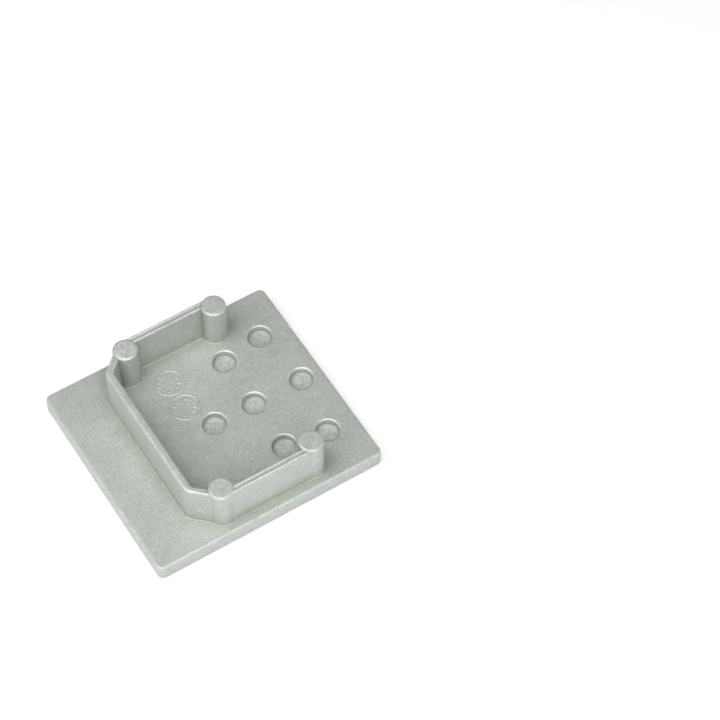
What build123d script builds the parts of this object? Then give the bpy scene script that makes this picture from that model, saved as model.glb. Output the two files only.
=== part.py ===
from build123d import *
import math
import os

# Profile end cap, die-cast in one piece. It lies on its outer face, with the inside up.
# The origin is the centre of the outer face, +Z points into the profile, +X to the wall's open end.
# Lengths are in millimetres and angles in degrees.

# Plate that covers the end of the profile
plate_width = 45.0
plate_depth = 41.5
plate_thickness = 3.9
plate_corner_radius = 1.15
outer_edge_radius = 1.05
inner_edge_radius = 0.45

# Four round pegs that press into the profile's channels, placed by margins from the plate's edges
peg_diameter = 4.5
peg_front_margin = 12.2
peg_back_margin = 14.9
peg_side_margin = 4.1
peg_over_wall = 0.05
peg_rim_radius = 0.2
peg_draft = 0.8

# U-shaped wall that ties the pegs together, and how far each peg bulges out of it
wall_height = 8.7
wall_thickness = 1.45
wall_behind_pegs = 5.5
peg_bulge_at_leg = 0.3
wall_draft = 1.5
wall_top_radius = 0.45

# Walls across the two back corners, which run at an angle from the legs to the back
cut_angle = 42.0
cut_thickness = 1.25
peg_bulge_at_cut = 0.5
outer_corner_radius = 2.0
inner_corner_radius = 1.5

# Rounding where wall and pegs meet the inner face of the plate
foot_radius = 0.15

# Round recesses in the inner face, placed from the plate's front edge and from the rows of pegs
recess_diameter = 4.3
recess_depth = 1.5
recess_rim_radius = 0.4
recess_floor_radius = 0.2
recess_front = 4.2
recess_corner_front = 5.9
recess_middle_front = 14.0
recess_back_front = 22.1
recess_corner_from_pegs = 4.95
recess_middle_from_pegs = 6.3

# How far the wall and pegs reach down into the plate, and the cutters out of it
overlap = 1.0

# Places and levels that follow from the sizes above
front_edge_x = plate_width / 2
inner_face_z = plate_thickness
wall_top_z = inner_face_z + wall_height
peg_top_z = wall_top_z + peg_over_wall
peg_radius = peg_diameter / 2
front_pegs_x = front_edge_x - peg_front_margin
back_pegs_x = peg_back_margin - plate_width / 2
pegs_y = plate_depth / 2 - peg_side_margin


def peg_centres():
    """Centres of the four pegs, as points (x, y)."""
    return [(x, side * pegs_y) for x in (back_pegs_x, front_pegs_x) for side in (-1, 1)]


def recess_centres():
    """Centres of the recesses: a row on the centre line and two mirrored pairs."""
    middle_x = front_edge_x - recess_middle_front
    row = [(front_edge_x - front, 0) for front in (recess_front, recess_back_front)]
    middle = [(middle_x, side * (pegs_y - recess_middle_from_pegs)) for side in (-1, 0, 1)]
    corner_x = front_edge_x - recess_corner_front
    corners = [(corner_x, side * (pegs_y - recess_corner_from_pegs)) for side in (-1, 1)]
    return row + middle + corners


def make_plate():
    """Cover plate with a soft edge round the outer face and a smaller one round the inner face."""
    plate = extrude(RectangleRounded(plate_width, plate_depth, plate_corner_radius), plate_thickness)
    outer_edges = plate.faces().sort_by(Axis.Z)[0].edges()
    plate = fillet(outer_edges, outer_edge_radius)
    inner_edges = plate.faces().sort_by(Axis.Z)[-1].edges()
    return fillet(inner_edges, inner_edge_radius)


def wall_outline(inset, cut_inset, corner_radius):
    """Outline of the wall's top, moved inwards: a rectangle with its two back corners cut off.

    The legs end at the centres of the front pegs, and the cuts pass outside the back pegs' centres.
    """
    back = back_pegs_x - wall_behind_pegs + inset
    leg = pegs_y + peg_radius - peg_bulge_at_leg - inset
    cut_from_peg = peg_radius - peg_bulge_at_cut - cut_inset
    angle = math.radians(cut_angle)
    cut_x = back_pegs_x - (cut_from_peg - (leg - pegs_y) * math.cos(angle)) / math.sin(angle)
    cut_y = pegs_y + (cut_from_peg - (back_pegs_x - back) * math.sin(angle)) / math.cos(angle)
    outline = Polygon(
        (front_pegs_x, -leg),
        (front_pegs_x, leg),
        (cut_x, leg),
        (back, cut_y),
        (back, -cut_y),
        (cut_x, -leg),
        align=None,
    )
    return fillet(outline.vertices().sort_by(Axis.X)[:2], corner_radius)


def make_wall():
    """Drafted wall with a rounded top, reaching down into the plate."""
    outside = wall_outline(0, 0, outer_corner_radius)
    inside = wall_outline(wall_thickness, cut_thickness, inner_corner_radius)
    top = Plane.XY.offset(wall_top_z) * (outside - inside)
    wall = extrude(top, -(wall_height + overlap), taper=-wall_draft)
    return fillet(wall.faces().sort_by(Axis.Z)[-1].edges(), wall_top_radius)


def make_peg():
    """Slightly drafted round peg with a broken rim, with its top at the origin."""
    height = peg_over_wall + wall_height + overlap
    foot = peg_radius + height * math.tan(math.radians(peg_draft))
    peg = Cone(foot, peg_radius, height, align=(Align.CENTER, Align.CENTER, Align.MAX))
    return fillet(peg.edges().sort_by(Axis.Z)[-1], peg_rim_radius)


def make_bore():
    """Cutter for a recess: a plug with a rounded end, reaching out over the face at the origin."""
    radius = recess_diameter / 2
    plug = Cylinder(radius, recess_depth + overlap, align=(Align.CENTER, Align.CENTER, Align.MIN))
    plug = fillet(plug.edges().sort_by(Axis.Z)[0], recess_floor_radius)
    return Pos(0, 0, -recess_depth) * plug


def make_end_cap():
    """The whole casting: plate, wall with pegs, and recesses."""
    plate = make_plate()
    peg = make_peg()
    ring = make_wall() + [Pos(x, y, peg_top_z) * peg for x, y in peg_centres()]
    cap = plate + ring
    cap = fillet(new_edges(plate, ring, combined=cap), foot_radius)
    bore = make_bore()
    bores = [Pos(x, y, inner_face_z) * bore for x, y in recess_centres()]
    bored = cap - bores
    rims = new_edges(cap, *bores, combined=bored).filter_by(GeomType.CIRCLE)
    return fillet(rims, recess_rim_radius)


os.makedirs("parts", exist_ok=True)
end_cap = make_end_cap()
export_step(end_cap, "parts/end_cap.step")
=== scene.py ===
import bpy
import bmesh
import math
from mathutils import Matrix, Vector, noise


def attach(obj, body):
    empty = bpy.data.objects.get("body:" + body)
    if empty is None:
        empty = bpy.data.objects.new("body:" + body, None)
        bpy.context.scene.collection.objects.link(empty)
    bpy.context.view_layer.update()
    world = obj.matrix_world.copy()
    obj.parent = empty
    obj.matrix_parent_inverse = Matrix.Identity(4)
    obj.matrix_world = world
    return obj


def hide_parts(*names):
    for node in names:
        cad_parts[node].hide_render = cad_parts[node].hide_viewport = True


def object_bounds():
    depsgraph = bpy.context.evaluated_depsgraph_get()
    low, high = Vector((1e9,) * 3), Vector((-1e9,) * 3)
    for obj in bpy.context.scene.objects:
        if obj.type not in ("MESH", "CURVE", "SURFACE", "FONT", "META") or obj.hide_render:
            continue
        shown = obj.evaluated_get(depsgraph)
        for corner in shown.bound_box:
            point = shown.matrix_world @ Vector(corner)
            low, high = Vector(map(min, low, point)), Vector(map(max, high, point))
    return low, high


# Profile end cap of cast zinc with a satin silver lacquer, lying on its grained outer face.
# Lengths are in metres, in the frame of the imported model.

MM = 0.001

# The photograph's camera: where it stands round the cap, and where the cap's origin falls
FRAME_PIXELS = 720
CAMERA_AZIMUTH = math.radians(-31.893)
CAMERA_ELEVATION = math.radians(56.596)
CAMERA_DISTANCE = 488.0 * MM
FOCAL_PIXELS = 2750.6
ORIGIN_PIXEL = (213.35, 436.2)
NEAR_CLIP = 10 * MM
FAR_CLIP = 20000 * MM

# Soft boxes: name, azimuth and elevation in degrees, distance, side, power in watts
SOFT_BOXES = (
    ("box_right_low", 0, 22, 600 * MM, 400 * MM, 0.43),
    ("box_back_low", 135, 22, 600 * MM, 400 * MM, 0.15),
    ("box_left_low", 180, 22, 600 * MM, 400 * MM, 0.45),
    ("box_corner_low", 225, 22, 600 * MM, 400 * MM, 0.69),
    ("box_front_low", 270, 22, 600 * MM, 400 * MM, 0.50),
    ("box_far_low", 315, 22, 600 * MM, 400 * MM, 0.32),
    ("box_front", 270, 50, 600 * MM, 400 * MM, 1.13),
    ("box_left_near", 180, 60, 250 * MM, 200 * MM, 0.33),
    ("box_over", 225, 70, 600 * MM, 600 * MM, 2.2),
)

# Surroundings: white to the camera, and how strongly they light the cap
WHITE = (1, 1, 1, 1)
SURROUND_STRENGTH = 0.02

# Floor: its colour, its darker colour for the camera and the white that it adds there, so that it
# shows white round the cap and keeps the cap's shadow
FLOOR_HALF_SIDE = 3000 * MM
FLOOR_COLOUR = (0.9, 0.9, 0.92, 1)
FLOOR_SEEN_COLOUR = (0.55, 0.55, 0.56, 1)
FLOOR_GLOW = 0.47

# Levels of the inner face and of the recess floors, and how level faces are told from others
INNER_FACE_Z = 3.9 * MM
RECESS_DEPTH = 1.5 * MM
LEVEL_TOLERANCE = 0.002 * MM
LEVEL_NORMAL = 0.999

# How finely the faces that get relief are cut up
MERGE_DISTANCE = 0.0002 * MM
OUTER_MARGIN = 0.4 * MM
OUTER_CUTS = 239
RING_WIDTH = 0.13 * MM

# Pebble grain of the outer face, how uneven it is, and how it fades out towards the rim
PEBBLE_SIZE = 0.7 * MM
PEBBLE_DEPTH = 0.09 * MM
PEBBLE_MEAN = 0.55
PEBBLE_GROOVE = 0.42
PEBBLE_WOBBLE = 0.12
PEBBLE_WOBBLE_SIZE = 3 * MM
PEBBLE_UNEVEN = 0.25
PEBBLE_UNEVEN_SIZE = 0.9 * MM
PEBBLE_FADE = 0.9 * MM

# Rough ends that ejector pins leave on the pegs and in the recesses, and how pale they are
PIN_GRAIN = 0.5 * MM
PIN_DEPTH = 0.06 * MM
PIN_FADE = 0.3 * MM
PIN_SOFTNESS = 0.9
PIN_LACUNARITY = 2.1
PIN_OCTAVES = 4
FLOOR_PALENESS = 0.9
TOP_PALENESS = 0.25
SCRAPED_PALENESS = 1.0

# Rounding of the pegs' rims, by radii from the peg's axis and by its lowest level
RIM_START = 1.72 * MM
RIM_END = 2.25 * MM
RIM_REACH = 2.35 * MM
RIM_DROP = 0.24 * MM
RIM_HEIGHT = 0.5 * MM

# Edges sharper than this stay sharp in the shading
SHARP_ANGLE = math.radians(26)

# Curvatures at which a rounded edge starts to look rubbed and painted highlit, and at which it is
# fully so
RUBBED_FROM = 0.6 / MM
RUBBED_FULL = 2.4 / MM

# Width of the plate's own rim, and its share of the wear and painted highlight
PLATE_RIM_WIDTH = 0.6 * MM
PLATE_RIM_WEAR_AND_HIGHLIGHT = 0.4

# Two raised dials in the floor, and their bars
DIAL_CENTRES = ((-2.2 * MM, 11.5 * MM), (-2.3 * MM, 5.6 * MM))
DIAL_RADIUS = 2.6 * MM
DIAL_STEPS = 72
DIAL_LINE = 0.36 * MM
LINE_SEGMENTS = 12
DIAL_BARS = 12
BAR_RADIUS = 1.8 * MM
BAR_LENGTH = 0.7 * MM
BAR_EDGE = 0.3 * DIAL_LINE
BAR_EDGE_ANGLE = math.radians(60)

# Mottle of the casting at four scales, from specks to the broad cloud: size of its features,
# detail, share of the brightness and depth
MOTTLE = (
    (0.22 * MM, 1.0, 0.50, 0.012 * MM),
    (0.55 * MM, 1.0, 0.38, 0.030 * MM),
    (1.6 * MM, 2.0, 0.20, 0.070 * MM),
    (6.0 * MM, 2.0, 0.10, 0.0),
)

# Colours of the lacquer: its two cloudy tones, painted shade in corners, on pin marks, and where it
# is worn and painted highlit
COOL_LACQUER = (0.420, 0.462, 0.436, 1)
WARM_LACQUER = (0.444, 0.462, 0.414, 1)
CORNER_PAINTED_SHADE = (0.30, 0.325, 0.265, 1)
PIN_MARK_LACQUER = (0.480, 0.508, 0.474, 1)
WORN_LACQUER_AND_PAINTED_HIGHLIGHT = (0.51, 0.535, 0.505, 1)

# How far the painted shade reaches out of a corner
PAINTED_SHADE_REACH = 3.0 * MM
CORNER_SAMPLES = 8

# Finish of the lacquer: what the cloud, the wear with its painted highlight, the painted shade and
# light of the pits and the pin marks change in it
LACQUER_METALLIC = 0.3
LACQUER_ROUGHNESS = 0.48
CLOUD_ROUGHNESS = 0.2
WEAR_POLISH = 0.25
WEAR_AND_HIGHLIGHT_LEVEL = 0.75
WEAR_AND_HIGHLIGHT_CLOUD = 1.6
GRAIN_PAINTED_SHADE = 0.5
PIN_MARK_GRAIN = 0.7

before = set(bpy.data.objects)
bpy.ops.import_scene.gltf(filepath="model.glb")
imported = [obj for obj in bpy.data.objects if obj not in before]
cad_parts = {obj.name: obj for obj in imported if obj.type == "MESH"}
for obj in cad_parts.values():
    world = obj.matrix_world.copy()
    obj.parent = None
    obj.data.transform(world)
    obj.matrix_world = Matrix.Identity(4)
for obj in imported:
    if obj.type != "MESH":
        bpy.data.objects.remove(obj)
cad_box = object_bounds()

# Levels and places that follow from the frame and the sizes above
outer_face_z = cad_box[0][2]
peg_top_z = cad_box[1][2]
pin_floor_z = INNER_FACE_Z - RECESS_DEPTH
plate_rim_x = cad_box[1][0] - PLATE_RIM_WIDTH
plate_rim_y = cad_box[1][1] - PLATE_RIM_WIDTH


def clamp(value):
    """Value held between 0 and 1."""
    return max(0.0, min(1.0, value))


def whole_faces(shape, level):
    """Flat faces at one height, each made whole from its triangles."""
    triangles = [
        face
        for face in shape.faces
        if abs(face.normal.z) > LEVEL_NORMAL
        and all(abs(vert.co.z - level) < LEVEL_TOLERANCE for vert in face.verts)
    ]
    return bmesh.ops.dissolve_faces(shape, faces=triangles)["region"]


def square_grid(shape, face):
    """Middle of the outer face cut into squares, inside a plain margin; half the grid's size."""
    half = Vector([max(vert.co[axis] for vert in face.verts) - OUTER_MARGIN for axis in (0, 1)])
    for axis in (0, 1):
        for side in (-1, 1):
            point, normal = Vector((0, 0, 0)), Vector((0, 0, 0))
            point[axis] = side * half[axis]
            normal[axis] = 1
            cut = bmesh.ops.bisect_plane(
                shape,
                geom=[face, *face.edges, *face.verts],
                dist=MERGE_DISTANCE,
                plane_co=point,
                plane_no=normal,
            )
            pieces = [item for item in cut["geom"] if isinstance(item, bmesh.types.BMFace)]
            face = max(pieces, key=lambda piece: piece.calc_area())
    bmesh.ops.subdivide_edges(shape, edges=list(face.edges), cuts=OUTER_CUTS, use_grid_fill=True)
    return half


def ring_grid(shape, disc):
    """Round face cut into narrow rings; its centre, radius and the vertices inside its rim."""
    centre = disc.calc_center_bounds()
    radius = max((vert.co - centre).length for vert in disc.verts)
    inside = set()
    for _ in range(int(radius / RING_WIDTH) - 1):
        bmesh.ops.inset_individual(shape, faces=[disc], thickness=RING_WIDTH, use_even_offset=True)
        inside.update(disc.verts)
    return centre, radius, inside


def pebble_height(point):
    """Height of the pebble grain at a point of the outer face, from 0 in its grooves to 1."""
    wobble = PEBBLE_WOBBLE * noise.noise(point / PEBBLE_WOBBLE_SIZE)
    nearest, second = noise.voronoi(point / PEBBLE_SIZE + Vector((wobble, wobble, 0)))[0][:2]
    step = clamp((second - nearest) / PEBBLE_GROOVE)
    dome = step * step * (3 - 2 * step)
    return dome * (1 - PEBBLE_UNEVEN + PEBBLE_UNEVEN * noise.noise(point / PEBBLE_UNEVEN_SIZE))


def grain_outer_face(shape, half, grain_shade):
    """Pebble grain pressed into the outer face, with painted shade in its pits and painted light on
    its crests, fading out to its rim.
    """
    for vert in shape.verts:
        if abs(vert.co.z - outer_face_z) < LEVEL_TOLERANCE:
            rim = min(half.x - abs(vert.co.x), half.y - abs(vert.co.y))
            fade = clamp(rim / PEBBLE_FADE)
            if fade:
                height = pebble_height(vert.co)
                # Painted shade in the pits and painted light on the crests, by the depth of the
                # grain
                vert[grain_shade] = fade * (PEBBLE_MEAN - height)
                vert.co.z += PEBBLE_DEPTH * fade * (1 - height)


def roughen_pin_mark(disc, pin_mark, paleness):
    """Uneven, paler surface sunk into a round face, fading out at its rim."""
    centre, radius, inside = disc
    for vert in inside:
        fade = clamp((radius - (vert.co - centre).length) / PIN_FADE)
        grain = noise.fractal(vert.co / PIN_GRAIN, PIN_SOFTNESS, PIN_LACUNARITY, PIN_OCTAVES)
        vert[pin_mark] = paleness * fade
        vert.co.z -= PIN_DEPTH * fade * clamp(0.5 + 0.5 * grain)


def round_peg_rim(shape, centre):
    """Rim of a peg worn down to a soft round edge."""
    for vert in shape.verts:
        level = clamp(1 - (peg_top_z - vert.co.z) / RIM_HEIGHT)
        offset = (vert.co.xy - centre.xy).length
        if level and offset < RIM_REACH:
            vert.co.z -= RIM_DROP * level * clamp((offset - RIM_START) / (RIM_END - RIM_START)) ** 2


def mark_worn_highlit_edges(shape, rubbed_and_highlit):
    """How rubbed each vertex is, and so how much painted highlight it gets, from the curvature of
    the faces round it.
    """
    turns = {}
    for face in shape.faces:
        turn = sum(edge.calc_face_angle_signed(0) * edge.calc_length() for edge in face.edges)
        turns[face] = (turn / 2, face.calc_area())
    for vert in shape.verts:
        turn = sum(turns[face][0] for face in vert.link_faces)
        area = sum(turns[face][1] for face in vert.link_faces)
        on_plate_rim = abs(vert.co.x) > plate_rim_x or abs(vert.co.y) > plate_rim_y
        share = PLATE_RIM_WEAR_AND_HIGHLIGHT if on_plate_rim else 1
        vert[rubbed_and_highlit] = share * clamp((turn / area - RUBBED_FROM) / (RUBBED_FULL - RUBBED_FROM))


def cast_cap(node):
    """Merged copy of the casting with a pebbled outer face, rough pin marks and soft peg rims."""
    mesh = node.data.copy()
    mesh.name = "end_cap_cast"
    shape = bmesh.new()
    shape.from_mesh(mesh)
    bmesh.ops.remove_doubles(shape, verts=shape.verts, dist=MERGE_DISTANCE)
    for name in ("pin_mark", "rubbed_and_highlit", "grain_shade"):
        shape.verts.layers.float.new(name)
    pin_mark, rubbed_and_highlit, grain_shade = shape.verts.layers.float.values()
    half = square_grid(shape, whole_faces(shape, outer_face_z)[0])
    floors = [ring_grid(shape, disc) for disc in whole_faces(shape, pin_floor_z)]
    tops = [ring_grid(shape, disc) for disc in whole_faces(shape, peg_top_z)]
    mark_worn_highlit_edges(shape, rubbed_and_highlit)
    grain_outer_face(shape, half, grain_shade)
    for disc in floors:
        roughen_pin_mark(disc, pin_mark, FLOOR_PALENESS)
    for disc in tops:
        scraped = disc[0].x < 0 < disc[0].y
        roughen_pin_mark(disc, pin_mark, SCRAPED_PALENESS if scraped else TOP_PALENESS)
        round_peg_rim(shape, disc[0])
    for face in shape.faces:
        face.smooth = True
    for edge in shape.edges:
        edge.smooth = edge.calc_face_angle(0) < SHARP_ANGLE
    shape.to_mesh(mesh)
    shape.free()
    cap = bpy.data.objects.new("end_cap_cast", mesh)
    bpy.context.scene.collection.objects.link(cap)
    weighted = cap.modifiers.new("even_flats", "WEIGHTED_NORMAL")
    weighted.mode = "FACE_AREA"
    weighted.keep_sharp = True
    return cap


def dial_mark(shape, centre):
    """Raised ring with short radial bars inside it, half sunk in the floor."""
    upright = Matrix.Rotation(math.pi / 2, 4, "X")
    start = Matrix.Translation(centre + Vector((DIAL_RADIUS, 0, 0))) @ upright
    line = bmesh.ops.create_circle(
        shape,
        segments=LINE_SEGMENTS,
        radius=DIAL_LINE / 2,
        matrix=start,
    )["verts"]
    edges = {edge for vert in line for edge in vert.link_edges}
    bmesh.ops.spin(
        shape,
        geom=[*line, *edges],
        cent=centre,
        axis=(0, 0, 1),
        angle=2 * math.pi,
        steps=DIAL_STEPS,
        use_merge=True,
    )
    for bar in range(DIAL_BARS):
        turn = Matrix.Rotation(2 * math.pi * bar / DIAL_BARS, 4, "Z")
        place = Matrix.Translation(centre) @ turn @ Matrix.Translation((BAR_RADIUS, 0, 0))
        size = Matrix.Diagonal((BAR_LENGTH, DIAL_LINE, DIAL_LINE, 1))
        bmesh.ops.create_cube(shape, size=1, matrix=place @ size)


def raised_dials():
    """Two plain dials on the hidden side of the casting, rubbed and painted highlit all over."""
    shape = bmesh.new()
    for x, y in DIAL_CENTRES:
        dial_mark(shape, Vector((x, y, INNER_FACE_Z)))
    bmesh.ops.recalc_face_normals(shape, faces=shape.faces)
    rubbed_and_highlit = shape.verts.layers.float.new("rubbed_and_highlit")
    for vert in shape.verts:
        vert[rubbed_and_highlit] = 1
    for face in shape.faces:
        face.smooth = True
    mesh = bpy.data.meshes.new("raised_dials")
    shape.to_mesh(mesh)
    shape.free()
    dials = bpy.data.objects.new("raised_dials", mesh)
    bpy.context.scene.collection.objects.link(dials)
    soft = dials.modifiers.new("soft_bars", "BEVEL")
    soft.width = BAR_EDGE
    soft.segments = 2
    soft.limit_method = "ANGLE"
    soft.angle_limit = BAR_EDGE_ANGLE
    return dials


def math_node(tree, operation, first, second):
    """Math node whose inputs are sockets or numbers."""
    node = tree.nodes.new("ShaderNodeMath")
    node.operation = operation
    for socket, value in zip(node.inputs, (first, second)):
        if isinstance(value, (int, float)):
            socket.default_value = value
        else:
            tree.links.new(value, socket)
    return node.outputs[0]


def noise_node(tree, coordinates, size, detail):
    """Noise about 0, with features of one size."""
    texture = tree.nodes.new("ShaderNodeTexNoise")
    texture.inputs["Scale"].default_value = 1 / size
    texture.inputs["Detail"].default_value = detail
    tree.links.new(coordinates, texture.inputs["Vector"])
    return math_node(tree, "SUBTRACT", texture.outputs[0], 0.5)


def cast_grain_group():
    """Mottle of a lacquered casting: a brightness factor, a height in metres and a broad cloud."""
    tree = bpy.data.node_groups.new("cast_grain", "ShaderNodeTree")
    tree.interface.new_socket("Strength", in_out="INPUT", socket_type="NodeSocketFloat")
    for name in ("Brightness", "Height", "Cloud"):
        tree.interface.new_socket(name, in_out="OUTPUT", socket_type="NodeSocketFloat")
    entry, result = tree.nodes.new("NodeGroupInput"), tree.nodes.new("NodeGroupOutput")
    place = tree.nodes.new("ShaderNodeTexCoord").outputs["Object"]
    strength = entry.outputs["Strength"]
    mottle = 0.0
    height = 0.0
    for size, detail, share, depth in MOTTLE:
        layer = noise_node(tree, place, size, detail)
        mottle = math_node(tree, "ADD", math_node(tree, "MULTIPLY", layer, share), mottle)
        height = math_node(tree, "ADD", math_node(tree, "MULTIPLY", layer, depth), height)
    brightness = math_node(tree, "ADD", math_node(tree, "MULTIPLY", mottle, strength), 1.0)
    tree.links.new(brightness, result.inputs["Brightness"])
    tree.links.new(math_node(tree, "MULTIPLY", height, strength), result.inputs["Height"])
    tree.links.new(layer, result.inputs["Cloud"])
    return tree


def attribute_node(tree, name):
    """Vertex attribute as a number."""
    node = tree.nodes.new("ShaderNodeAttribute")
    node.attribute_name = name
    return node.outputs["Fac"]


def mix_colour(tree, factor, first, second):
    """Mix of two colours, each a socket or plain values."""
    mix = tree.nodes.new("ShaderNodeMix")
    mix.data_type = "RGBA"
    tree.links.new(factor, mix.inputs["Factor"])
    for name, value in (("A", first), ("B", second)):
        socket = [item for item in mix.inputs if item.name == name and item.type == "RGBA"][0]
        if isinstance(value, tuple):
            socket.default_value = value
        else:
            tree.links.new(value, socket)
    return [item for item in mix.outputs if item.type == "RGBA"][0]


def silver_lacquer():
    """Satin silver lacquer over cast zinc, mottled, paler on edges from rubbed wear and painted
    highlight, with painted shade in corners.
    """
    material = bpy.data.materials.new("silver_lacquer_cast")
    material.use_nodes = True
    tree = material.node_tree
    shader = tree.nodes["Principled BSDF"]
    shader.inputs["Metallic"].default_value = LACQUER_METALLIC
    pin_mark = attribute_node(tree, "pin_mark")
    # Painted shade: the lacquer is darkened to a dull olive towards corners, found by ambient
    # occlusion
    corners = tree.nodes.new("ShaderNodeAmbientOcclusion")
    corners.samples = CORNER_SAMPLES
    corners.inputs["Distance"].default_value = PAINTED_SHADE_REACH
    corner_shade = math_node(tree, "SUBTRACT", 1.0, corners.outputs["AO"])

    grain = tree.nodes.new("ShaderNodeGroup")
    grain.node_tree = cast_grain_group()
    rough = math_node(tree, "MULTIPLY", pin_mark, PIN_MARK_GRAIN)
    tree.links.new(math_node(tree, "ADD", rough, 1.0), grain.inputs["Strength"])
    cloud = grain.outputs["Cloud"]

    # Painted highlight: convex edges turn to a paler lacquer, partly real rubbed wear and partly
    # painted highlight on rounded edges
    broken = math_node(tree, "ADD", math_node(tree, "MULTIPLY", cloud, WEAR_AND_HIGHLIGHT_CLOUD), WEAR_AND_HIGHLIGHT_LEVEL)
    wear_and_highlight = math_node(tree, "MULTIPLY", attribute_node(tree, "rubbed_and_highlit"), broken)
    warmth = math_node(tree, "ADD", cloud, 0.5)
    lacquer = mix_colour(tree, warmth, COOL_LACQUER, WARM_LACQUER)
    # Painted shade in corners
    corner_shaded = mix_colour(tree, corner_shade, lacquer, CORNER_PAINTED_SHADE)
    marked = mix_colour(tree, pin_mark, corner_shaded, PIN_MARK_LACQUER)
    worn_and_highlit = mix_colour(tree, wear_and_highlight, marked, WORN_LACQUER_AND_PAINTED_HIGHLIGHT)
    shade = tree.nodes.new("ShaderNodeVectorMath")
    shade.operation = "SCALE"
    # Painted shade and painted light of the pebble grain
    painted_grain_shade = math_node(tree, "MULTIPLY", attribute_node(tree, "grain_shade"), -GRAIN_PAINTED_SHADE)
    brightness = math_node(tree, "ADD", grain.outputs["Brightness"], painted_grain_shade)
    tree.links.new(worn_and_highlit, shade.inputs[0])
    tree.links.new(brightness, shade.inputs["Scale"])
    tree.links.new(shade.outputs[0], shader.inputs["Base Color"])

    clouded = math_node(tree, "MULTIPLY", cloud, CLOUD_ROUGHNESS)
    polished = math_node(tree, "MULTIPLY", wear_and_highlight, -WEAR_POLISH)
    change = math_node(tree, "ADD", clouded, polished)
    roughness = math_node(tree, "ADD", change, LACQUER_ROUGHNESS)
    tree.links.new(roughness, shader.inputs["Roughness"])

    bump = tree.nodes.new("ShaderNodeBump")
    bump.inputs["Strength"].default_value = 1.0
    bump.inputs["Distance"].default_value = 1.0
    tree.links.new(grain.outputs["Height"], bump.inputs["Height"])
    tree.links.new(bump.outputs[0], shader.inputs["Normal"])
    return material


def white_stage():
    """Pale floor that shows white to the camera and keeps the cap's soft shadow."""
    mesh = bpy.data.meshes.new("floor")
    shape = bmesh.new()
    bmesh.ops.create_grid(shape, x_segments=1, y_segments=1, size=FLOOR_HALF_SIDE)
    shape.to_mesh(mesh)
    shape.free()
    floor = bpy.data.objects.new("floor", mesh)
    bpy.context.scene.collection.objects.link(floor)
    material = bpy.data.materials.new("white_paper")
    material.use_nodes = True
    tree = material.node_tree
    shader = tree.nodes["Principled BSDF"]
    shader.inputs["Roughness"].default_value = 1.0
    shader.inputs["Specular IOR Level"].default_value = 0.0
    seen = tree.nodes.new("ShaderNodeLightPath").outputs["Is Camera Ray"]
    colour = mix_colour(tree, seen, FLOOR_COLOUR, FLOOR_SEEN_COLOUR)
    tree.links.new(colour, shader.inputs["Base Color"])
    glow = tree.nodes.new("ShaderNodeEmission")
    tree.links.new(math_node(tree, "MULTIPLY", seen, FLOOR_GLOW), glow.inputs["Strength"])
    both = tree.nodes.new("ShaderNodeAddShader")
    tree.links.new(shader.outputs[0], both.inputs[0])
    tree.links.new(glow.outputs[0], both.inputs[1])
    tree.links.new(both.outputs[0], tree.nodes["Material Output"].inputs["Surface"])
    mesh.materials.append(material)


def soft_world():
    """White surroundings for the camera, and hardly any light from them."""
    world = bpy.data.worlds.new("light_tent")
    bpy.context.scene.world = world
    world.use_nodes = True
    tree = world.node_tree
    dim = tree.nodes["Background"]
    dim.inputs["Color"].default_value = WHITE
    dim.inputs["Strength"].default_value = SURROUND_STRENGTH
    white = tree.nodes.new("ShaderNodeBackground")
    white.inputs["Color"].default_value = WHITE
    white.inputs["Strength"].default_value = 1.0
    mix = tree.nodes.new("ShaderNodeMixShader")
    path = tree.nodes.new("ShaderNodeLightPath")
    tree.links.new(path.outputs["Is Camera Ray"], mix.inputs[0])
    tree.links.new(dim.outputs[0], mix.inputs[1])
    tree.links.new(white.outputs[0], mix.inputs[2])
    tree.links.new(mix.outputs[0], tree.nodes["World Output"].inputs["Surface"])


def soft_box(name, azimuth, elevation, distance, side, watts):
    """Square area lamp that looks at the cap, placed by degrees from +X and above the floor."""
    lamp = bpy.data.lights.new(name, "AREA")
    lamp.shape = "SQUARE"
    lamp.size = side
    lamp.energy = watts
    holder = bpy.data.objects.new(name, lamp)
    bpy.context.scene.collection.objects.link(holder)
    turn, rise = math.radians(azimuth), math.radians(elevation)
    level = math.cos(rise)
    away = Vector((math.cos(turn) * level, math.sin(turn) * level, math.sin(rise)))
    holder.location = away * distance
    holder.rotation_mode = "QUATERNION"
    holder.rotation_quaternion = away.to_track_quat("Z", "Y")


def photograph_camera():
    """Camera at the photograph's viewing angle, with the cap where the photograph has it."""
    data = bpy.data.cameras.new("camera")
    camera = bpy.data.objects.new("camera", data)
    bpy.context.scene.collection.objects.link(camera)
    back = Vector((
        math.sin(CAMERA_AZIMUTH) * math.cos(CAMERA_ELEVATION),
        -math.cos(CAMERA_AZIMUTH) * math.cos(CAMERA_ELEVATION),
        math.sin(CAMERA_ELEVATION),
    ))
    right = Vector((0, 0, 1)).cross(back).normalized()
    up = back.cross(right)
    metres_per_pixel = CAMERA_DISTANCE / FOCAL_PIXELS
    across = (FRAME_PIXELS / 2 - ORIGIN_PIXEL[0]) * metres_per_pixel
    upwards = (ORIGIN_PIXEL[1] - FRAME_PIXELS / 2) * metres_per_pixel
    place = Matrix.Translation(back * CAMERA_DISTANCE + right * across + up * upwards)
    camera.matrix_world = place @ Matrix((right, up, back)).transposed().to_4x4()
    data.lens = FOCAL_PIXELS / FRAME_PIXELS * data.sensor_width
    data.clip_start = NEAR_CLIP
    data.clip_end = FAR_CLIP
    bpy.context.scene.camera = camera


cap = cast_cap(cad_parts["end_cap"])
cap.data.materials.clear()
dials = raised_dials()
lacquer = silver_lacquer()
for piece in (cap, dials):
    piece.data.materials.append(lacquer)
    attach(piece, "root")
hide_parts("end_cap")
white_stage()
soft_world()
for box in SOFT_BOXES:
    soft_box(*box)
photograph_camera()
bpy.context.scene.view_settings.view_transform = "Standard"
